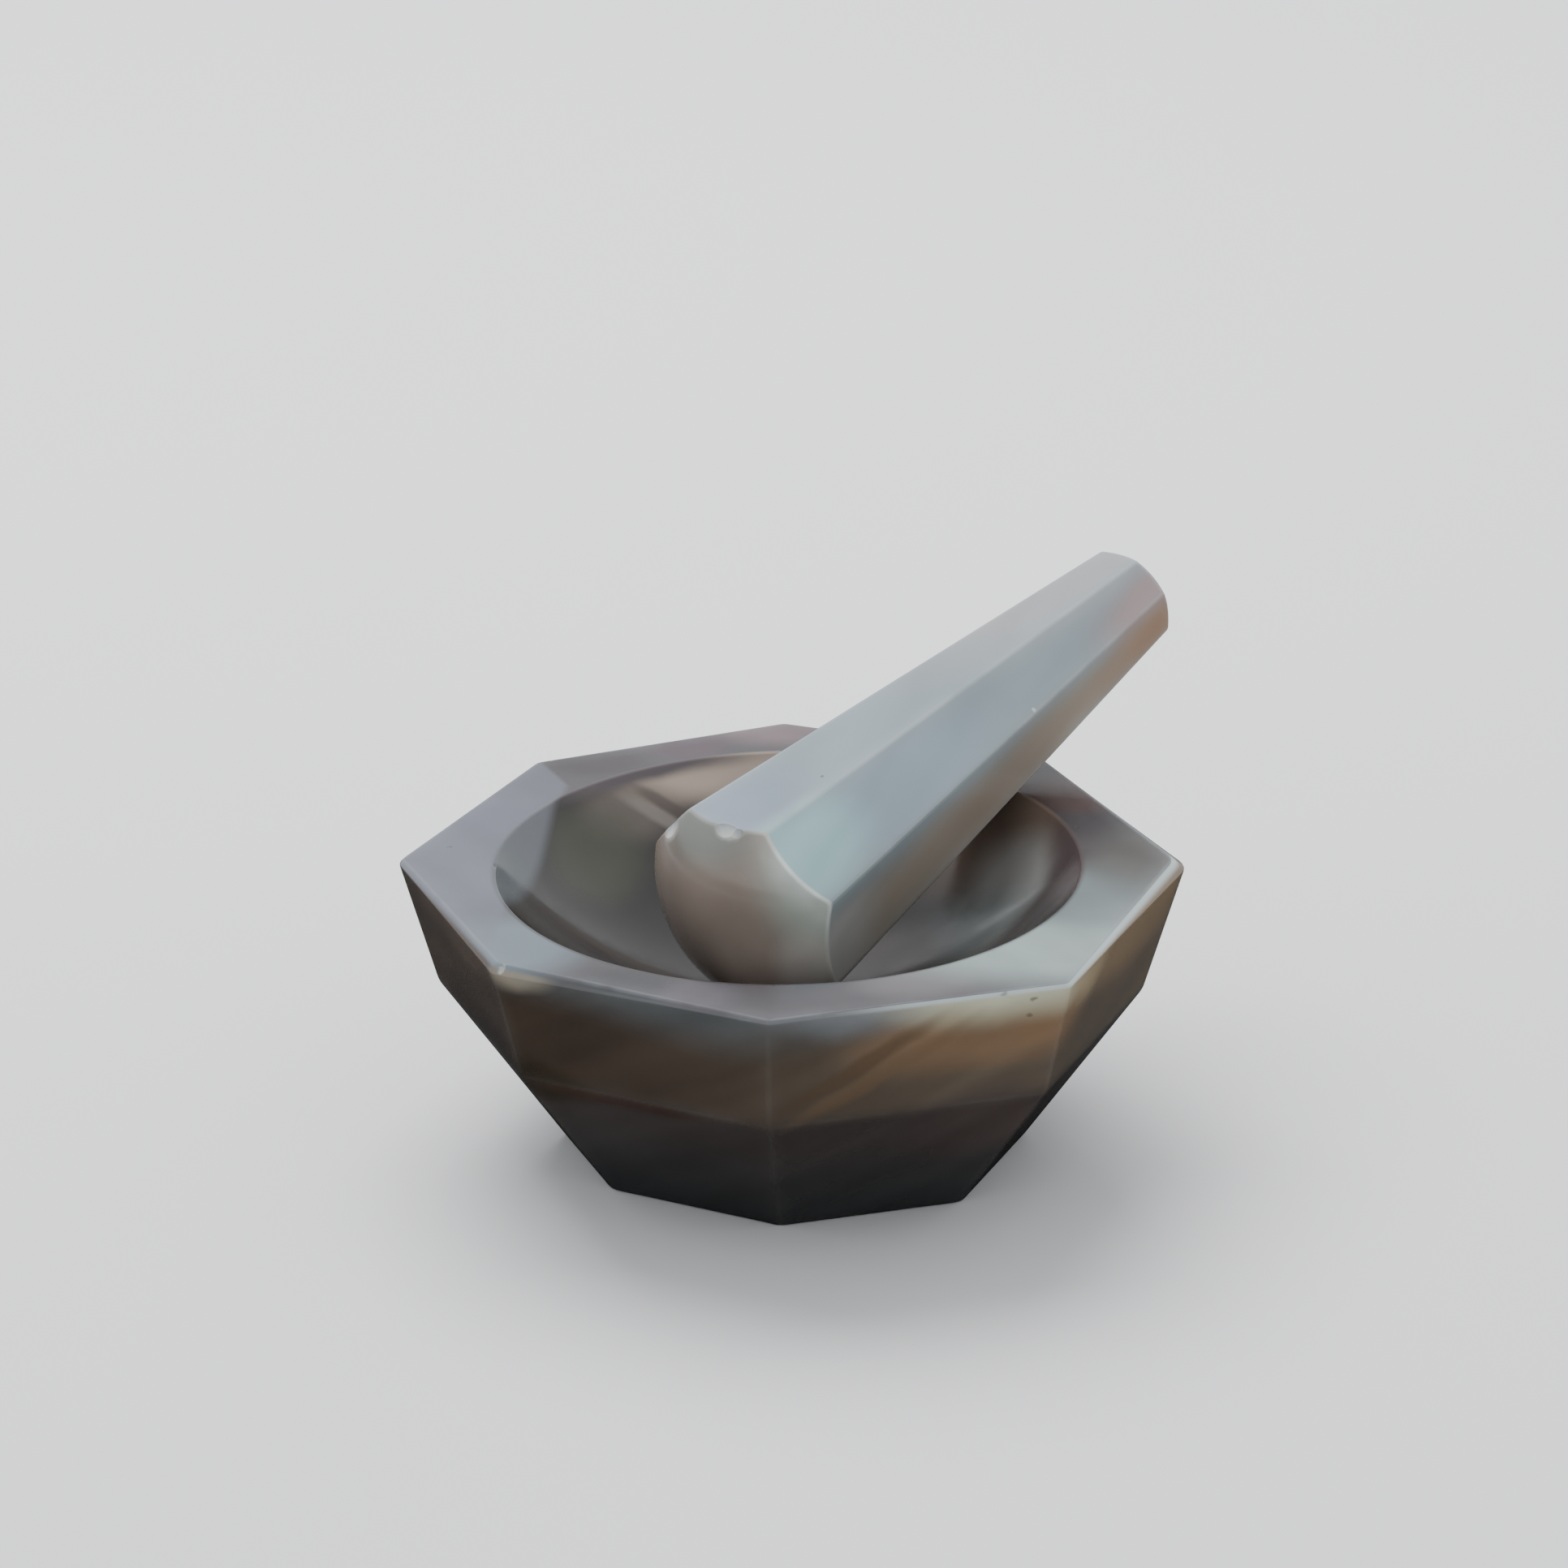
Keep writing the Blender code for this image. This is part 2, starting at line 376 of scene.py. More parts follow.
def bowl_section(angle):
    """Points from the rim over the lip and down to the middle of the bowl."""
    sphere_radius = (BOWL_RADIUS ** 2 + BOWL_DEPTH ** 2) / (2.0 * BOWL_DEPTH)
    centre_height = HEIGHT - BOWL_DEPTH + sphere_radius
    wall_slope = math.pi / 2.0 + math.atan2(HEIGHT - centre_height, BOWL_RADIUS)
    tangent = BOWL_LIP * math.tan(wall_slope / 2.0)
    lip_x = BOWL_RADIUS + tangent
    lip_z = HEIGHT - BOWL_LIP
    section = []
    for step in range(FILLET_STEPS + 1):
        turn = math.pi / 2.0 + wall_slope * step / FILLET_STEPS
        section.append((lip_x + BOWL_LIP * math.cos(turn), lip_z + BOWL_LIP * math.sin(turn)))
    start = math.atan2(section[-1][1] - centre_height, section[-1][0])
    for step in range(1, FLOOR_ROWS + 1):
        turn = start + (-math.pi / 2.0 - start) * step / FLOOR_ROWS
        section.append((sphere_radius * math.cos(turn), centre_height + sphere_radius * math.sin(turn)))
    section[-1] = (0.0, HEIGHT - BOWL_DEPTH)
    return [Vector((r * math.cos(angle), r * math.sin(angle), z)) for r, z in section]


# --- pestle --------------------------------------------------------------------


def meet_sphere(point, direction, centre, radius, forward):
    """Where a line through point meets a sphere, on its forward or backward side."""
    offset = point - centre
    along = offset.dot(direction)
    inside = along ** 2 - direction.length_squared * (offset.length_squared - radius ** 2)
    reach = math.sqrt(inside) if forward else -math.sqrt(inside)
    return point + direction * ((reach - along) / direction.length_squared)


def dome_arc(border, centre, radius, pole_up):
    """Points over a dome from its border towards its pole, without the border."""
    out = border - centre
    flat = Vector((out.x, out.y, 0.0)).normalized()
    rise = math.atan2(abs(out.z), Vector((out.x, out.y, 0.0)).length)
    sign = 1.0 if pole_up else -1.0
    arc = []
    for step in range(1, DOME_ROWS + 1):
        turn = rise + (math.pi / 2.0 - rise) * step / DOME_ROWS
        up = Vector((0.0, 0.0, sign * radius * math.sin(turn)))
        arc.append(centre + flat * (radius * math.cos(turn)) + up)
    return arc


def pestle_columns():
    """Columns from pole to pole in the pestle's own axes, and points along its ridges."""
    head_rise = math.sqrt(HEAD_DOME_RADIUS ** 2 - HEAD_RADIUS ** 2)
    hand_drop = math.sqrt(HAND_DOME_RADIUS ** 2 - HAND_RADIUS ** 2)
    head_centre = Vector((0.0, 0.0, head_rise))
    hand_centre = Vector((0.0, 0.0, STATION_GAP - hand_drop))
    corners = octagon(HEAD_RADIUS, PESTLE_CORNERS, math.pi / SIDES)
    outline = soft_outline(corners, [RIDGE_CUT] * SIDES)
    shrink = HAND_RADIUS / HEAD_RADIUS
    columns = []
    ridges = []
    for point in outline:
        far = point * shrink + Vector((0.0, 0.0, STATION_GAP))
        direction = far - point
        head_border = meet_sphere(point, direction, head_centre, HEAD_DOME_RADIUS, False)
        hand_border = meet_sphere(point, direction, hand_centre, HAND_DOME_RADIUS, True)
        head = list(reversed(dome_arc(head_border, head_centre, HEAD_DOME_RADIUS, False)))
        hand = dome_arc(hand_border, hand_centre, HAND_DOME_RADIUS, True)
        head[0] = head_centre - Vector((0.0, 0.0, HEAD_DOME_RADIUS))
        hand[-1] = hand_centre + Vector((0.0, 0.0, HAND_DOME_RADIUS))
        head_turn = fillet(head[-1], head_border, hand_border, BORDER_CUT, FILLET_STEPS)
        hand_turn = fillet(head_border, hand_border, hand[0], BORDER_CUT, FILLET_STEPS)
        shaft = shaft_rows(head_turn[-1], hand_turn[0])
        columns.append(head + head_turn + shaft + hand_turn + hand)
        ridges.extend((head_border, hand_border))
    for corner in corners:
        ridges.extend(along(corner, corner * shrink + Vector((0.0, 0.0, STATION_GAP))))
    return columns, ridges


def shaft_rows(start, end):
    """Points up the shaft, closer together near both ends."""
    rows = []
    for step in range(1, SHAFT_ROWS):
        share = 0.5 - 0.5 * math.cos(math.pi * step / SHAFT_ROWS)
        rows.append(start.lerp(end, share))
    return rows


def pestle_placement():
    """Stands the pestle's own +Z, head to hand end, along the way it lies."""
    turn = Matrix.Rotation(PESTLE_HEADING, 4, "Z")
    lean = Matrix.Rotation(math.pi / 2.0 - PESTLE_SLOPE, 4, "Y")
    roll = Matrix.Rotation(PESTLE_ROLL, 4, "Z")
    return Matrix.Translation(HEAD_STATION) @ turn @ lean @ roll


# --- materials -------------------------------------------------------------------

# Optics and relief that both stones share.
AGATE_IOR = 1.54
SCATTERED_COLOUR = (1.0, 0.72, 0.5)
SCATTERING_DEPTH = 3.0 * MM
BUMP_DEPTH = 0.03 * MM

# The share of a patch's radii over which it keeps its full strength.
PATCH_CORE = 0.35



class Stone:
    """One material's nodes. Any input may be a number, a tuple or another node's output."""

    def __init__(self, name):
        self.material = bpy.data.materials.new(name)
        self.material.use_nodes = True
        self.tree = self.material.node_tree
        self.shader = self.tree.nodes["Principled BSDF"]

    def feed(self, value, socket):
        if isinstance(value, bpy.types.NodeSocket):
            self.tree.links.new(value, socket)
        elif isinstance(value, tuple) and len(value) == 3 and socket.type == "RGBA":
            socket.default_value = (*value, 1.0)
        else:
            socket.default_value = value

    def math(self, operation, first, second=0.0, third=0.0):
        node = self.tree.nodes.new("ShaderNodeMath")
        node.operation = operation
        for value, socket in zip((first, second, third), node.inputs):
            self.feed(value, socket)
        return node.outputs[0]

    def vector(self, operation, first, second=(0.0, 0.0, 0.0), output=0):
        node = self.tree.nodes.new("ShaderNodeVectorMath")
        node.operation = operation
        self.feed(first, node.inputs[0])
        self.feed(second, node.inputs[1])
        return node.outputs[output]

    def grow(self, vector, factor):
        node = self.tree.nodes.new("ShaderNodeVectorMath")
        node.operation = "SCALE"
        self.feed(vector, node.inputs[0])
        self.feed(factor, node.inputs["Scale"])
        return node.outputs[0]

    def split(self, vector):
        node = self.tree.nodes.new("ShaderNodeSeparateXYZ")
        self.feed(vector, node.inputs[0])
        return node.outputs

    def join(self, x, y, z):
        node = self.tree.nodes.new("ShaderNodeCombineXYZ")
        for value, socket in zip((x, y, z), node.inputs):
            self.feed(value, socket)
        return node.outputs[0]

    def step(self, value, low, high, low_result=0.0, high_result=1.0):
        """A smooth step from low_result at low to high_result at high."""
        node = self.tree.nodes.new("ShaderNodeMapRange")
        node.interpolation_type = "SMOOTHSTEP"
        for number, socket in zip((value, low, high, low_result, high_result), node.inputs):
            self.feed(number, socket)
        return node.outputs[0]

    def mix(self, share, first, second, blend="MIX"):
        node = self.tree.nodes.new("ShaderNodeMix")
        node.data_type = "RGBA"
        node.blend_type = blend
        self.feed(share, node.inputs["Factor"])
        self.feed(first, node.inputs[6])
        self.feed(second, node.inputs[7])
        return node.outputs[2]

    def noise(self, place, scale, detail=2.0, roughness=0.5, output=0):
        node = self.tree.nodes.new("ShaderNodeTexNoise")
        self.feed(place, node.inputs["Vector"])
        node.inputs["Scale"].default_value = scale
        node.inputs["Detail"].default_value = detail
        node.inputs["Roughness"].default_value = roughness
        return node.outputs[output]

    def warped(self, place, scale, reach):
        """The place pushed about by up to `reach` in soft swirls."""
        swirl = self.vector("SUBTRACT", self.noise(place, scale, 2.0, 0.5, 1), (0.5, 0.5, 0.5))
        return self.vector("ADD", place, self.grow(swirl, reach * 2.0))

    def near(self, place, centre, radii, slant=0.0):
        """1 inside an egg-shaped patch, fading to 0 at its radii. Slant is rise over x."""
        offset = self.vector("SUBTRACT", place, centre)
        if slant:
            x, y, z = self.split(offset)
            offset = self.join(x, y, self.math("MULTIPLY_ADD", x, -slant, z))
        squeezed = self.vector("DIVIDE", offset, radii)
        return self.step(self.vector("LENGTH", squeezed, output=1), 1.0, PATCH_CORE)

    def finish(self, colour, roughness, bump_height, scattering):
        shader = self.shader
        self.feed(colour, shader.inputs["Base Color"])
        self.feed(roughness, shader.inputs["Roughness"])
        shader.inputs["IOR"].default_value = AGATE_IOR
        shader.inputs["Subsurface Weight"].default_value = scattering
        shader.inputs["Subsurface Radius"].default_value = SCATTERED_COLOUR
        shader.inputs["Subsurface Scale"].default_value = SCATTERING_DEPTH
        bump = self.tree.nodes.new("ShaderNodeBump")
        bump.inputs["Strength"].default_value = 1.0
        bump.inputs["Distance"].default_value = BUMP_DEPTH
        self.feed(bump_height, bump.inputs["Height"])
        self.tree.links.new(bump.outputs[0], shader.inputs["Normal"])
        return self.material


# Every patch below is (red, green, blue), centre, radii and strength, in millimetres.
# The mortar's patches use the frame's own axes. A streak has one more number: how steeply
# it rises with x.
RIM_PATCHES = (
    ((0.112, 0.115, 0.140), (-47.0, 2.0, 41.8), (16.0, 30.0, 30.0), 1.0),
    ((0.135, 0.130, 0.178), (-41.0, 19.0, 41.8), (9.0, 12.0, 30.0), 0.8),
    ((0.090, 0.096, 0.104), (-50.0, 3.0, 41.8), (8.0, 8.0, 30.0), 0.7),
    ((0.125, 0.160, 0.182), (-38.5, -27.0, 41.8), (14.0, 14.0, 30.0), 1.0),
    ((0.030, 0.029, 0.032), (-22.0, -40.0, 41.8), (12.0, 8.0, 30.0), 0.9),
    ((0.066, 0.055, 0.067), (-12.5, -44.0, 41.8), (7.0, 7.0, 30.0), 0.7),
    ((0.126, 0.114, 0.118), (18.0, -40.0, 41.8), (12.0, 9.0, 30.0), 0.9),
    ((0.245, 0.300, 0.290), (34.0, -30.0, 41.8), (30.0, 17.0, 30.0), 1.0),
    ((0.160, 0.196, 0.198), (44.0, -13.0, 41.8), (16.0, 16.0, 30.0), 0.8),
    ((0.096, 0.096, 0.093), (51.0, 0.0, 41.8), (14.0, 18.0, 30.0), 0.8),
    ((0.084, 0.036, 0.030), (41.0, 24.0, 41.8), (13.0, 10.0, 30.0), 0.8),
    ((0.140, 0.098, 0.103), (1.0, 50.0, 41.8), (17.0, 9.0, 30.0), 0.9),
    ((0.070, 0.040, 0.053), (-14.0, 44.5, 41.8), (9.0, 7.0, 30.0), 0.7),
    ((0.033, 0.025, 0.028), (-27.0, 38.0, 41.8), (11.0, 7.0, 30.0), 0.8),
)
BOWL_PATCHES = (
    # Painted light: a pale glow where light shines through the back wall under the lip.
    ((0.385, 0.312, 0.248), (-13.0, 39.0, 42.0), (25.0, 13.0, 8.5), 1.0),
    ((0.135, 0.108, 0.090), (-23.0, 29.0, 38.0), (12.0, 9.0, 6.0), 0.7),
    ((0.052, 0.053, 0.034), (-28.0, 21.0, 35.0), (12.0, 15.0, 8.0), 0.8),
    # The next three are painted light: paler where the pestle's shadow falls on the right of the bowl,
    # for light shining through the stone.
    ((0.205, 0.150, 0.118), (31.0, 24.0, 37.0), (24.0, 20.0, 17.0), 1.0),
    ((0.350, 0.350, 0.335), (31.5, 11.5, 34.0), (13.5, 12.5, 8.5), 0.8),
    ((0.215, 0.246, 0.238), (26.5, 5.0, 29.5), (14.0, 11.5, 9.0), 0.7),
    ((0.130, 0.108, 0.102), (14.0, 5.0, 24.0), (14.0, 12.0, 8.0), 0.8),
    ((0.085, 0.064, 0.066), (40.5, 2.0, 41.0), (9.0, 20.0, 8.0), 0.8),
)

# Painted shade under the lip at the back, then a pale and a dark streak.
BOWL_STREAKS = (
    ((0.080, 0.066, 0.070), (-20.0, 34.0, 41.8), (24.0, 18.0, 2.1), 1.0, 0.0),
    ((0.200, 0.175, 0.150), (-18.5, 31.5, 36.4), (7.5, 4.5, 1.3), 0.70, -0.58),
    ((0.060, 0.042, 0.036), (-17.8, 32.5, 37.6), (6.0, 4.5, 1.1), 0.68, -0.58),
)

SIDE_PATCHES = (
    ((0.066, 0.071, 0.073), (-16.0, -44.0, 45.0), (50.0, 26.0, 12.0), 1.0),
    ((0.164, 0.106, 0.063), (29.0, -43.0, 35.5), (30.0, 16.0, 9.0), 1.0),
    # This and the next are painted light: a pale band glowing through the thin stone under the front
    # edge, widest at the front right corner.
    ((0.150, 0.160, 0.170), (10.0, -49.0, 45.0), (18.0, 12.0, 9.0), 0.9),
    ((0.480, 0.485, 0.360), (30.0, -44.5, 45.5), (25.0, 16.0, 11.4), 1.0),
    ((0.270, 0.240, 0.185), (-37.5, -35.5, 41.6), (7.5, 7.0, 4.6), 0.65),
    ((0.070, 0.050, 0.037), (-46.0, -14.0, 41.5), (12.0, 30.0, 7.0), 0.8),
    ((0.018, 0.013, 0.010), (-42.0, -18.0, 24.0), (12.0, 26.0, 9.0), 0.8),
    ((0.340, 0.275, 0.170), (42.0, -36.0, 42.0), (8.0, 13.0, 9.0), 0.8),
    ((0.175, 0.122, 0.072), (49.0, -17.0, 39.0), (14.0, 28.0, 9.0), 0.9),
    ((0.056, 0.042, 0.040), (26.0, -37.0, 18.0), (16.0, 14.0, 10.0), 0.8),
    ((0.020, 0.015, 0.009), (-36.0, -30.0, 22.0), (14.0, 14.0, 5.0), 0.9),
)
SIDE_STREAKS = (
    ((0.072, 0.046, 0.027), (9.5, -48.0, 32.5), (13.0, 14.0, 2.4), 0.65, 0.62),
    ((0.120, 0.078, 0.046), (12.0, -48.0, 30.5), (16.0, 14.0, 2.4), 0.55, 0.58),
    ((0.036, 0.018, 0.012), (-22.0, -36.0, 22.0), (20.0, 12.0, 2.0), 0.60, 0.06),
)

# Small dark inclusions under the front right edge, and specks in the pestle.
MORTAR_SPECKS = (
    ((0.080, 0.066, 0.052), (28.8, -44.8, 41.4), (0.9, 0.9, 0.5), 0.5),
    ((0.080, 0.062, 0.044), (32.8, -43.5, 40.1), (0.7, 1.2, 0.45), 0.65),
    ((0.080, 0.062, 0.044), (32.3, -42.8, 37.4), (0.6, 1.2, 0.4), 0.6),
    ((0.050, 0.036, 0.026), (-47.6, 8.0, 41.8), (0.5, 0.4, 0.6), 0.6),
    ((0.480, 0.500, 0.480), (-39.1, -33.1, 41.2), (0.8, 0.8, 0.9), 0.8),
)
PESTLE_SPECKS = (
    ((0.480, 0.480, 0.460), (-12.0, 10.2, -2.0), (2.4, 2.6, 1.9), 0.9),
    ((0.420, 0.435, 0.415), (-15.5, -1.2, -2.0), (1.9, 2.7, 1.5), 0.9),
    ((0.090, 0.090, 0.100), (-14.3, -3.6, 15.5), (0.9, 0.35, 0.4), 0.8),
    ((0.560, 0.560, 0.550), (-4.9, -10.7, 51.5), (0.5, 0.5, 0.5), 0.8),
    ((0.110, 0.100, 0.100), (-9.5, -9.8, 33.0), (0.4, 0.9, 0.3), 0.6),
)

# The pestle's patches use its own axes: +Z from the head to the hand end. The shaft's
# are placed as if it stayed as wide as its head.
SHAFT_PATCHES = (
    ((0.320, 0.325, 0.335), (-17.0, 6.0, 78.0), (17.0, 20.0, 46.0), 0.9),
    ((0.210, 0.252, 0.318), (-15.0, 1.0, 2.0), (9.0, 11.0, 18.0), 0.7),
    ((0.245, 0.315, 0.370), (-11.5, -12.0, 24.0), (9.0, 9.0, 28.0), 0.8),
    ((0.290, 0.460, 0.480), (-12.0, -11.0, 2.0), (10.0, 9.0, 18.0), 0.9),
    ((0.290, 0.212, 0.206), (-8.0, -14.0, 88.0), (12.0, 11.0, 26.0), 0.9),
    ((0.270, 0.228, 0.182), (2.0, -18.5, 45.0), (11.5, 9.0, 90.0), 1.0),
    ((0.330, 0.330, 0.316), (2.0, -18.5, 0.0), (11.0, 9.0, 15.0), 0.8),
    ((0.262, 0.168, 0.112), (2.0, -18.5, 88.0), (13.0, 9.0, 32.0), 0.9),
)
DOME_PATCHES = (
    ((0.335, 0.362, 0.320), (-5.0, -14.0, 0.0), (18.0, 14.0, 8.0), 1.0),
    ((0.180, 0.190, 0.170), (-15.0, 3.0, -2.0), (11.0, 12.0, 6.0), 1.0),
    ((0.440, 0.360, 0.310), (7.0, -7.0, -7.0), (13.0, 11.0, 6.0), 0.8),
    ((0.520, 0.490, 0.450), (3.5, -14.0, -4.0), (9.0, 8.0, 4.5), 0.8),
)


# Ground colours of the stone, which the patches lie on.
FOOT_COLOUR = (0.035, 0.036, 0.037)
GIRDLE_COLOUR = (0.038, 0.032, 0.030)
LEFT_SIDE_COLOUR = (0.037, 0.026, 0.019)
RIGHT_SIDE_COLOUR = (0.090, 0.072, 0.054)
RIM_COLOUR = (0.053, 0.048, 0.053)
# Painted light on the left rim, where light shines through the thin wall.
LEFT_RIM_LIGHT_COLOUR = (0.118, 0.126, 0.158)
BOWL_COLOUR = (0.016, 0.013, 0.012)
# The next two are painted light on the left of the bowl, where light shines through the thin wall.
LEFT_BOWL_FRONT_LIGHT_COLOUR = (0.074, 0.086, 0.094)
LEFT_BOWL_BACK_LIGHT_COLOUR = (0.120, 0.124, 0.140)
SHAFT_COLOUR = (0.225, 0.275, 0.300)
SHAFT_UNDERSIDE_COLOUR = (0.235, 0.222, 0.195)
DOME_COLOUR = (0.256, 0.208, 0.176)

# Painted light along the ridges: the colours that the painted highlight lines and the painted glow of
# light through thin stone turn to.
SIDE_RIDGE_LIGHT_COLOUR = (0.14, 0.14, 0.13)
RIM_RIDGE_LIGHT_COLOUR = (0.28, 0.31, 0.33)
GLOWING_CHAMFER_COLOUR = (0.50, 0.57, 0.57)
SHAFT_RIDGE_LIGHT_COLOUR = (0.42, 0.46, 0.46)
DOME_RIDGE_LIGHT_COLOUR = (0.80, 0.88, 0.85)

# Where one colour passes into the next, as (from, to) in millimetres. "_Z" is a height
# and "_X" or "_Y" a place across or back, in the same axes as the patches.
FOOT_TO_GIRDLE_Z = (2.0, 20.0)
BELOW_TO_ABOVE_GIRDLE_Z = (21.5, 25.5)
LEFT_TO_RIGHT_SIDE_X = (-36.0, 34.0)
SIDE_TO_RIM_Z = (40.9, 41.5)
LEFT_BOWL_FRONT_TO_BACK_Y = (4.0, 20.0)
RIM_TO_BOWL_RADIUS = (41.9, 40.9)
ABOVE_BOWL_FLOOR_Z = (20.5, 21.5)
RIM_TO_CHAMFER_Z = (41.78, 41.66)
PLAIN_TO_GLOWING_CHAMFER_X = (0.0, 22.0)
GLOWING_CHAMFER_SHARES = (0.0, 0.75)
TOP_TO_UNDERSIDE_X = (-3.0, 7.0)
SHAFT_TO_HEAD_Z = (6.0, 4.0)

# The painted light on the mortar's left, where light shines through the thin wall, lies
# beyond one plane in the bowl. On the rim it lies beyond that plane and a second one.
# Each is (direction, (from, to) along it).
LEFT_PLANE = (1.0, -0.16, 0.0)
LEFT_BOWL_EDGE = (-36.6, -38.4)
LEFT_RIM_EDGE = (-35.8, -37.6)
REAR_PLANE = (1.0, 0.454, 0.0)
REAR_RIM_EDGE = (-17.9, -19.1)
LEFT_RIM_LIGHT_SHARE = 0.65

# How much of the painted highlight colour shows along the side's ridges: at (low, high)
# over a range of height, then less again close under the rim.
SIDE_HIGHLIGHT_Z = (20.0, 30.0)
SIDE_HIGHLIGHT_SHARES = (0.05, 0.11)
SIDE_HIGHLIGHT_END_Z = (41.0, 38.0)
SIDE_HIGHLIGHT_END_SHARES = (0.3, 1.0)

# Swirls that push the patches about: noise scale, per millimetre, and reach.
BROAD_SWIRL = 0.035
FINE_SWIRL = 0.12
MORTAR_SWIRLS = (2.0, 0.7)
PESTLE_SWIRLS = (1.5, 0.5)
# Swirl of the edge of the painted light on the mortar's left.
LIGHT_EDGE_SWIRL = (0.02, 1.5)
STREAK_SWIRL = (0.15, 0.25)
MORTAR_SPECK_SWIRL = (0.9, 0.5)
PESTLE_SPECK_SWIRL = (0.9, 0.3)

# Directions across the agate's fine layers.
SIDE_LAYERS = (-0.50, 0.10, 0.87)
RIM_LAYERS = (0.5, 0.35, 0.4)
BOWL_LAYERS = (0.35, -0.25, 0.6)
SHAFT_LAYERS = (0.8, -0.5, 0.22)
DOME_LAYERS = (0.3, 0.6, 0.5)

# The dome's front border is thin and painted bright, as light glowing through it:
# (centre, radii), then the ridge light colour's share in its painted highlight line away
# from the front, how much more at the front, and in its painted glow.
BRIGHT_BORDER = ((-9.5, -12.0, -1.0), (11.0, 10.0, 6.0))
BORDER_LINE = 0.12
BRIGHT_BORDER_LINE = 0.80
BRIGHT_BORDER_GLOW = 0.42

# The large fresh chip is matt: (centre, radii) and roughness.
FRESH_CHIP = ((-15.7, -0.3, -2.2), (3.0, 5.5, 2.8))
FRESH_ROUGHNESS = 0.5

# How far inside the head's dome its surface colour starts and is complete.
DOME_SKIN = (0.35, 0.05)

# Fine layers: noise scales per millimetre, how far the layers wander, the shares of
# layers and slow drift in the tone, and the tones that give the least and most light.
LAYER_SCALE = 0.16
WANDER_SCALE = 0.03
WANDER_REACH = 6.0
DRIFT_SCALE = 0.06
LAYER_SHARE = 0.7
DRIFT_SHARE = 0.3
TONE_RANGE = (0.3, 0.7)

# The painted highlight line on a ridge starts and is complete at these distances from
# it. Its strength is uneven, as noise scale, noise range and shares.
RIDGE_HIGHLIGHT_LINE = (0.65, 0.15)
UNEVEN_SCALE = 0.11
UNEVEN_RANGE = (0.3, 0.65)
UNEVEN_SHARES = (0.35, 1.0)

# Polish: noise scales of ripples, fine wear and smudges, and the wear's height next to
# the ripples'.
RIPPLE_SCALE = 0.12
WEAR_SCALE = 1.4
WEAR_HEIGHT = 0.02
SMUDGE_SCALE = 0.09
SMUDGE_RANGE = (0.35, 0.7)


def tinted(stone, place, colour, patches):
    for tint, centre, radii, strength, *slant in patches:
        share = stone.math("MULTIPLY", stone.near(place, centre, radii, *slant), strength)
        colour = stone.mix(share, colour, tint)
    return colour


def swirls(stone, place, reaches):
    """The place pushed about by broad swirls, then by fine ones."""
    broad, fine = reaches
    return stone.warped(stone.warped(place, BROAD_SWIRL, broad), FINE_SWIRL, fine)


def banded(stone, place, colour, lean, contrast):
    """Soft layers lying across the `lean` direction, as agate is laid down."""
    across = stone.vector("DOT_PRODUCT", place, lean, output=1)
    wander = stone.math("MULTIPLY", stone.noise(place, WANDER_SCALE, detail=1.0), WANDER_REACH)
    layers = stone.join(across, wander, 0.0)
    tone = stone.noise(layers, LAYER_SCALE, detail=1.0, roughness=0.4)
    drift = stone.math("MULTIPLY", stone.noise(place, DRIFT_SCALE), DRIFT_SHARE)
    tone = stone.math("MULTIPLY_ADD", tone, LAYER_SHARE, drift)
    gain = stone.step(tone, *TONE_RANGE, 1.0 - contrast, 1.0 + contrast)
    return stone.grow(colour, gain)


def edge_glow(stone, place, colour, paler, line, glow, reach):
    """Paints light on the thin ridges: a fine painted highlight line, and a softer painted glow out to
    `reach`.
    """
    ridge = stone.tree.nodes.new("ShaderNodeAttribute")
    ridge.attribute_name = "ridge_distance"
    distance = ridge.outputs["Fac"]
    uneven = stone.noise(place, UNEVEN_SCALE, detail=3.0)
    uneven = stone.step(uneven, *UNEVEN_RANGE, *UNEVEN_SHARES)
    line = stone.math("MULTIPLY", stone.step(distance, *RIDGE_HIGHLIGHT_LINE), line)
    line = stone.math("MULTIPLY", line, uneven)
    glow = stone.math("MULTIPLY", stone.step(distance, reach, 0.0), glow)
    glow = stone.math("MULTIPLY", glow, uneven)
    return stone.mix(line, stone.mix(glow, colour, paler), paler)


def surface(stone, place, smoothest, roughest):
    """Roughness and bump of a hand-polished stone: broad ripples and fine wear."""
    ripple = stone.noise(place, RIPPLE_SCALE)
    wear = stone.noise(place, WEAR_SCALE, detail=4.0, roughness=0.6)
    smudge = stone.noise(place, SMUDGE_SCALE, detail=3.0, roughness=0.6)
    rough = stone.step(smudge, *SMUDGE_RANGE, smoothest, roughest)
    height = stone.math("MULTIPLY_ADD", wear, WEAR_HEIGHT, ripple)
    return rough, height


def mortar_side(stone, place, swirled):
    x, _, z = stone.split(place)
    below = stone.mix(stone.step(z, *FOOT_TO_GIRDLE_Z), FOOT_COLOUR, GIRDLE_COLOUR)
    above = stone.mix(stone.step(x, *LEFT_TO_RIGHT_SIDE_X), LEFT_SIDE_COLOUR, RIGHT_SIDE_COLOUR)
    side = stone.mix(stone.step(z, *BELOW_TO_ABOVE_GIRDLE_Z), below, above)
    side = tinted(stone, swirled, side, SIDE_PATCHES)
    side = tinted(stone, swirled, side, SIDE_STREAKS)
    side = banded(stone, swirled, side, SIDE_LAYERS, contrast=0.16)
    ridge_highlight = stone.step(z, *SIDE_HIGHLIGHT_Z, *SIDE_HIGHLIGHT_SHARES)
    ridge_highlight = stone.math("MULTIPLY", ridge_highlight, stone.step(z, *SIDE_HIGHLIGHT_END_Z, *SIDE_HIGHLIGHT_END_SHARES))
    # Painted highlight lines and painted glow along the side's ridges.
    return edge_glow(stone, place, side, SIDE_RIDGE_LIGHT_COLOUR, line=ridge_highlight, glow=0.06, reach=2.5)


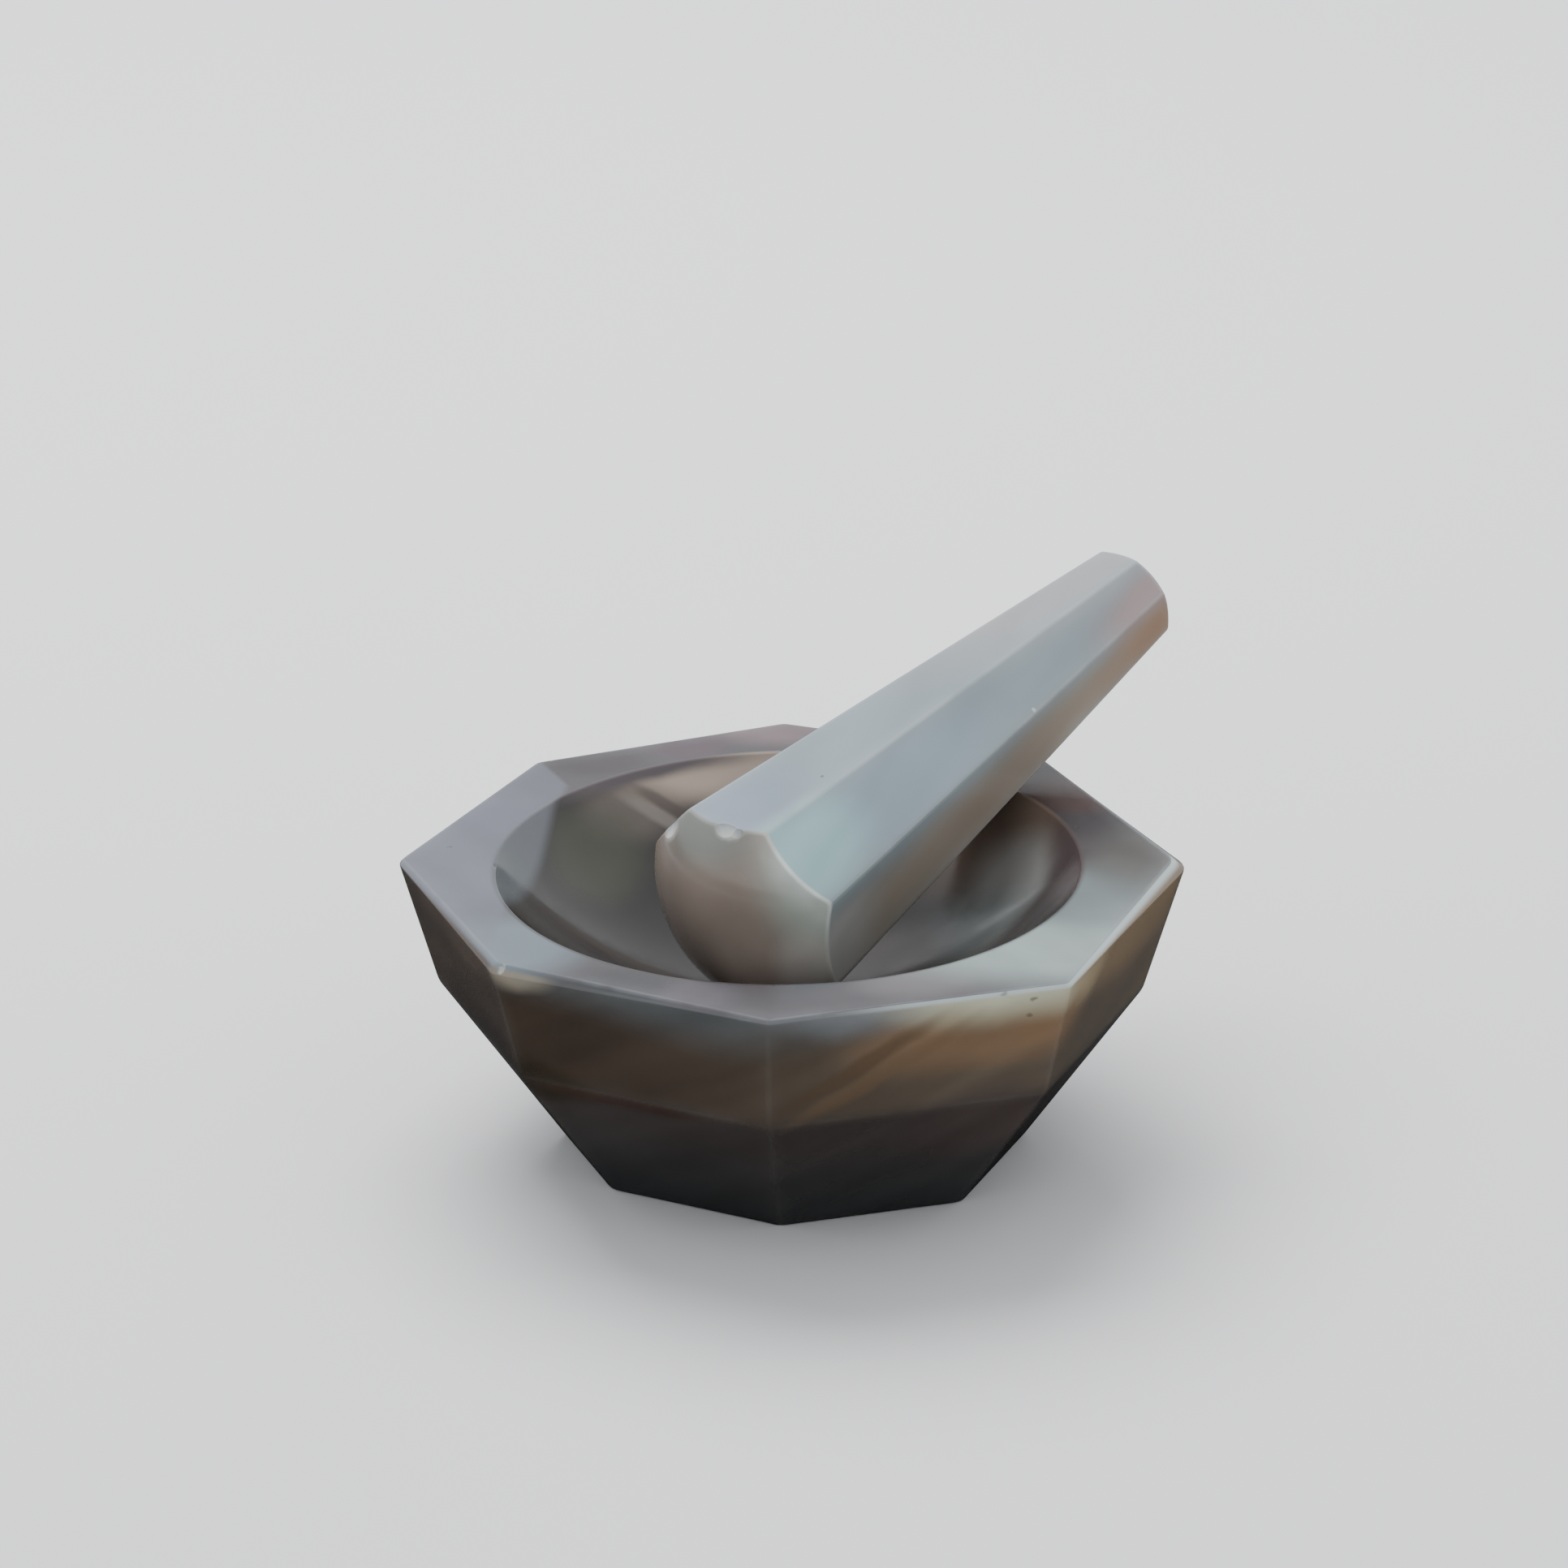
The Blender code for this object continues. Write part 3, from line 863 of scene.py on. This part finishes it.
def mortar_rim(stone, place, swirled, gently):
    """Colour of the flat rim and its chamfer, with painted light: pale on the rim's left where light
    shines through the thin wall, and on the chamfer towards the right where light glows through the
    thin edge.
    """
    x, _, z = stone.split(place)
    rim = tinted(stone, swirled, RIM_COLOUR, RIM_PATCHES)
    # Painted light on the rim's left, where light shines through the thin wall.
    left = stone.step(stone.vector("DOT_PRODUCT", gently, LEFT_PLANE, output=1), *LEFT_RIM_EDGE)
    rear = stone.step(stone.vector("DOT_PRODUCT", gently, REAR_PLANE, output=1), *REAR_RIM_EDGE)
    share = stone.math("MULTIPLY", stone.math("MINIMUM", left, rear), LEFT_RIM_LIGHT_SHARE)
    rim = stone.mix(share, rim, LEFT_RIM_LIGHT_COLOUR)
    rim = banded(stone, swirled, rim, RIM_LAYERS, contrast=0.12)
    # Painted highlight line and painted glow along the rim's ridges.
    rim = edge_glow(stone, place, rim, RIM_RIDGE_LIGHT_COLOUR, line=0.25, glow=0.10, reach=3.5)
    # Painted light: the chamfer turns pale towards the right, where light glows through the thin edge.
    on_chamfer = stone.step(z, *RIM_TO_CHAMFER_Z)
    to_right = stone.step(x, *PLAIN_TO_GLOWING_CHAMFER_X, *GLOWING_CHAMFER_SHARES)
    return stone.mix(stone.math("MULTIPLY", on_chamfer, to_right), rim, GLOWING_CHAMFER_COLOUR)


def mortar_bowl(stone, place, swirled, gently):
    _, y, _ = stone.split(place)
    bowl = tinted(stone, swirled, BOWL_COLOUR, BOWL_PATCHES)
    bowl = tinted(stone, stone.warped(place, *STREAK_SWIRL), bowl, BOWL_STREAKS)
    # Painted light on the left of the bowl, where light shines through the thin wall.
    front_to_back = stone.step(y, *LEFT_BOWL_FRONT_TO_BACK_Y)
    light_through_wall = stone.mix(front_to_back, LEFT_BOWL_FRONT_LIGHT_COLOUR, LEFT_BOWL_BACK_LIGHT_COLOUR)
    left = stone.step(stone.vector("DOT_PRODUCT", gently, LEFT_PLANE, output=1), *LEFT_BOWL_EDGE)
    bowl = stone.mix(left, bowl, light_through_wall)
    return banded(stone, swirled, bowl, BOWL_LAYERS, contrast=0.14)


def mortar_agate():
    stone = Stone("mortar_agate")
    coordinates = stone.tree.nodes.new("ShaderNodeTexCoord")
    place = stone.grow(coordinates.outputs["Object"], 1.0 / MM)
    swirled = swirls(stone, place, MORTAR_SWIRLS)
    gently = stone.warped(place, *LIGHT_EDGE_SWIRL)

    x, y, z = stone.split(place)
    radius = stone.vector("LENGTH", stone.join(x, y, 0.0), output=1)
    in_bowl = stone.step(radius, *RIM_TO_BOWL_RADIUS)
    in_bowl = stone.math("MULTIPLY", in_bowl, stone.step(z, *ABOVE_BOWL_FLOOR_Z))
    side = mortar_side(stone, place, swirled)
    rim = mortar_rim(stone, place, swirled, gently)
    colour = stone.mix(stone.step(z, *SIDE_TO_RIM_Z), side, rim)
    colour = stone.mix(in_bowl, colour, mortar_bowl(stone, place, swirled, gently))
    colour = tinted(stone, stone.warped(place, *MORTAR_SPECK_SWIRL), colour, MORTAR_SPECKS)
    rough, height = surface(stone, place, smoothest=0.10, roughest=0.20)
    return stone.finish(colour, rough, height, scattering=0.10)


def pestle_axes(stone):
    """The place in the pestle's own axes, in millimetres."""
    coordinates = stone.tree.nodes.new("ShaderNodeTexCoord")
    own = stone.tree.nodes.new("ShaderNodeMapping")
    inverse = pestle_placement().inverted()
    stone.feed(coordinates.outputs["Object"], own.inputs["Vector"])
    own.inputs["Location"].default_value = inverse.translation
    own.inputs["Rotation"].default_value = inverse.to_euler()
    return stone.grow(own.outputs[0], 1.0 / MM)


def pestle_shaft(stone, place, swirled):
    x, y, z = stone.split(swirled)
    taper = (1.0 - HAND_RADIUS / HEAD_RADIUS) / (STATION_GAP / MM)
    widen = stone.math("DIVIDE", 1.0, stone.math("MULTIPLY_ADD", z, -taper, 1.0))
    spread = stone.join(stone.math("MULTIPLY", x, widen), stone.math("MULTIPLY", y, widen), z)
    underneath = stone.step(x, *TOP_TO_UNDERSIDE_X)
    shaft = stone.mix(underneath, SHAFT_COLOUR, SHAFT_UNDERSIDE_COLOUR)
    shaft = tinted(stone, spread, shaft, SHAFT_PATCHES)
    shaft = banded(stone, swirled, shaft, SHAFT_LAYERS, contrast=0.10)
    # Painted highlight lines and painted glow along the shaft's ridges.
    return edge_glow(stone, place, shaft, SHAFT_RIDGE_LIGHT_COLOUR, line=0.30, glow=0.12, reach=3.0)


def pestle_dome(stone, place, swirled):
    dome = tinted(stone, swirled, DOME_COLOUR, DOME_PATCHES)
    dome = banded(stone, swirled, dome, DOME_LAYERS, contrast=0.12)
    # The dome's front border is painted brightest: painted glow of light through the thin border.
    front = stone.near(place, *BRIGHT_BORDER)
    line = stone.math("MULTIPLY_ADD", front, BRIGHT_BORDER_LINE, BORDER_LINE)
    glow = stone.math("MULTIPLY", front, BRIGHT_BORDER_GLOW)
    return edge_glow(stone, place, dome, DOME_RIDGE_LIGHT_COLOUR, line, glow, reach=4.5)


def on_head_dome(stone, place):
    """1 on the dome ground on the pestle's head, 0 on the shaft's facets."""
    rise = math.sqrt(HEAD_DOME_RADIUS ** 2 - HEAD_RADIUS ** 2) / MM
    from_centre = stone.vector("SUBTRACT", place, (0.0, 0.0, rise))
    reach = stone.vector("LENGTH", from_centre, output=1)
    start, complete = (HEAD_DOME_RADIUS / MM - depth for depth in DOME_SKIN)
    _, _, z = stone.split(place)
    return stone.math("MULTIPLY", stone.step(reach, start, complete), stone.step(z, *SHAFT_TO_HEAD_Z))


def pestle_agate():
    stone = Stone("pestle_agate")
    place = pestle_axes(stone)
    swirled = swirls(stone, place, PESTLE_SWIRLS)
    shaft = pestle_shaft(stone, place, swirled)
    dome = pestle_dome(stone, place, swirled)
    colour = stone.mix(on_head_dome(stone, place), shaft, dome)
    colour = tinted(stone, stone.warped(place, *PESTLE_SPECK_SWIRL), colour, PESTLE_SPECKS)
    rough, height = surface(stone, place, smoothest=0.12, roughest=0.22)
    fresh = stone.math("MULTIPLY", stone.near(place, *FRESH_CHIP), FRESH_ROUGHNESS)
    rough = stone.math("MAXIMUM", rough, fresh)
    return stone.finish(colour, rough, height, scattering=0.15)


# --- stage -------------------------------------------------------------------------

FLOOR_REACH = 4.0
FLOOR_ROUGHNESS = 0.6
FLOOR_COLOUR = (0.80, 0.80, 0.80)
MIRRORED_FLOOR_COLOUR = (0.032, 0.032, 0.032)
SKY_COLOUR = (0.95, 0.97, 1.0)
LAMP_PLACE = (-0.15, 0.45, 0.9)
LAMP_TARGET = (0.0, 0.0, 0.04)
LAMP_SIZE = 0.9
LAMP_POWER = 14.0
LAMP_COLOUR = (0.97, 0.98, 1.0)


def build_floor():
    shape = bmesh.new()
    bmesh.ops.create_grid(shape, x_segments=1, y_segments=1, size=FLOOR_REACH)
    mesh = bpy.data.meshes.new("floor")
    shape.to_mesh(mesh)
    shape.free()
    floor = bpy.data.objects.new("floor", mesh)
    bpy.context.scene.collection.objects.link(floor)
    material = bpy.data.materials.new("floor")
    material.use_nodes = True
    shader = material.node_tree.nodes["Principled BSDF"]
    shader.inputs["Roughness"].default_value = FLOOR_ROUGHNESS
    shader.inputs["Specular IOR Level"].default_value = 0.0
    darken_reflections(material.node_tree, shader)
    mesh.materials.append(material)


def darken_reflections(tree, shader):
    """The floor is pale to the eye, but the polished stone mirrors it as a dark bench."""
    ray = tree.nodes.new("ShaderNodeLightPath")
    shade = tree.nodes.new("ShaderNodeMix")
    shade.data_type = "RGBA"
    shade.inputs[6].default_value = (*FLOOR_COLOUR, 1.0)
    shade.inputs[7].default_value = (*MIRRORED_FLOOR_COLOUR, 1.0)
    tree.links.new(ray.outputs["Is Glossy Ray"], shade.inputs["Factor"])
    tree.links.new(shade.outputs[2], shader.inputs["Base Color"])


def build_world():
    world = bpy.data.worlds.new("studio")
    world.use_nodes = True
    background = world.node_tree.nodes["Background"]
    background.inputs["Color"].default_value = (*SKY_COLOUR, 1.0)
    background.inputs["Strength"].default_value = 1.0
    bpy.context.scene.world = world


def build_lamp():
    """One large soft disc overhead. The polished stone doesn't mirror it."""
    light = bpy.data.lights.new("overhead", "AREA")
    light.shape = "DISK"
    light.size = LAMP_SIZE
    light.energy = LAMP_POWER
    light.color = LAMP_COLOUR
    lamp = bpy.data.objects.new("overhead", light)
    lamp.location = LAMP_PLACE
    lamp.visible_glossy = False
    lamp.rotation_mode = "QUATERNION"
    aim = Vector(LAMP_TARGET) - Vector(LAMP_PLACE)
    lamp.rotation_quaternion = aim.to_track_quat("-Z", "Y")
    bpy.context.scene.collection.objects.link(lamp)


CAMERA_DISTANCE = 1.010
CAMERA_ELEVATION = math.radians(24.41)
CAMERA_TARGET_HEIGHT = 19.3 * MM
CAMERA_TILT = math.radians(1.81)
CAMERA_PAN = math.radians(0.05)
CAMERA_ROLL = math.radians(-0.97)
FOCAL_PER_WIDTH = 4.563
SENSOR_WIDTH = 36.0


def build_camera():
    camera = bpy.data.cameras.new("camera")
    camera.sensor_width = SENSOR_WIDTH
    camera.lens = SENSOR_WIDTH * FOCAL_PER_WIDTH
    camera.clip_start = 0.01
    holder = bpy.data.objects.new("camera", camera)
    back = Vector((0.0, -math.cos(CAMERA_ELEVATION), math.sin(CAMERA_ELEVATION)))
    holder.location = Vector((0.0, 0.0, CAMERA_TARGET_HEIGHT)) + back * CAMERA_DISTANCE
    holder.rotation_mode = "QUATERNION"
    aim = (-back).to_track_quat("-Z", "Y").to_matrix().to_4x4()
    tilt = Matrix.Rotation(CAMERA_TILT, 4, "X")
    pan = Matrix.Rotation(CAMERA_PAN, 4, "Y")
    roll = Matrix.Rotation(CAMERA_ROLL, 4, "Z")
    holder.rotation_quaternion = (aim @ roll @ pan @ tilt).to_quaternion()
    bpy.context.scene.collection.objects.link(holder)
    bpy.context.scene.camera = holder


def build_mortar():
    mesh = skin("mortar_stone", mortar_columns())
    mark_ridges(mesh, mortar_ridges())
    mesh = chipped(mesh, MORTAR_CHIPS, MORTAR_SHARP_ANGLE)
    return add_piece("mortar_stone", mesh, "mortar", mortar_agate())


def build_pestle():
    columns, ridges = pestle_columns()
    mesh = skin("pestle_stone", columns)
    mark_ridges(mesh, ridges)
    mesh = chipped(mesh, PESTLE_CHIPS, PESTLE_SHARP_ANGLE)
    mesh.transform(pestle_placement())
    return add_piece("pestle_stone", mesh, "pestle", pestle_agate())


build_mortar()
build_pestle()
build_floor()
build_world()
build_lamp()
build_camera()
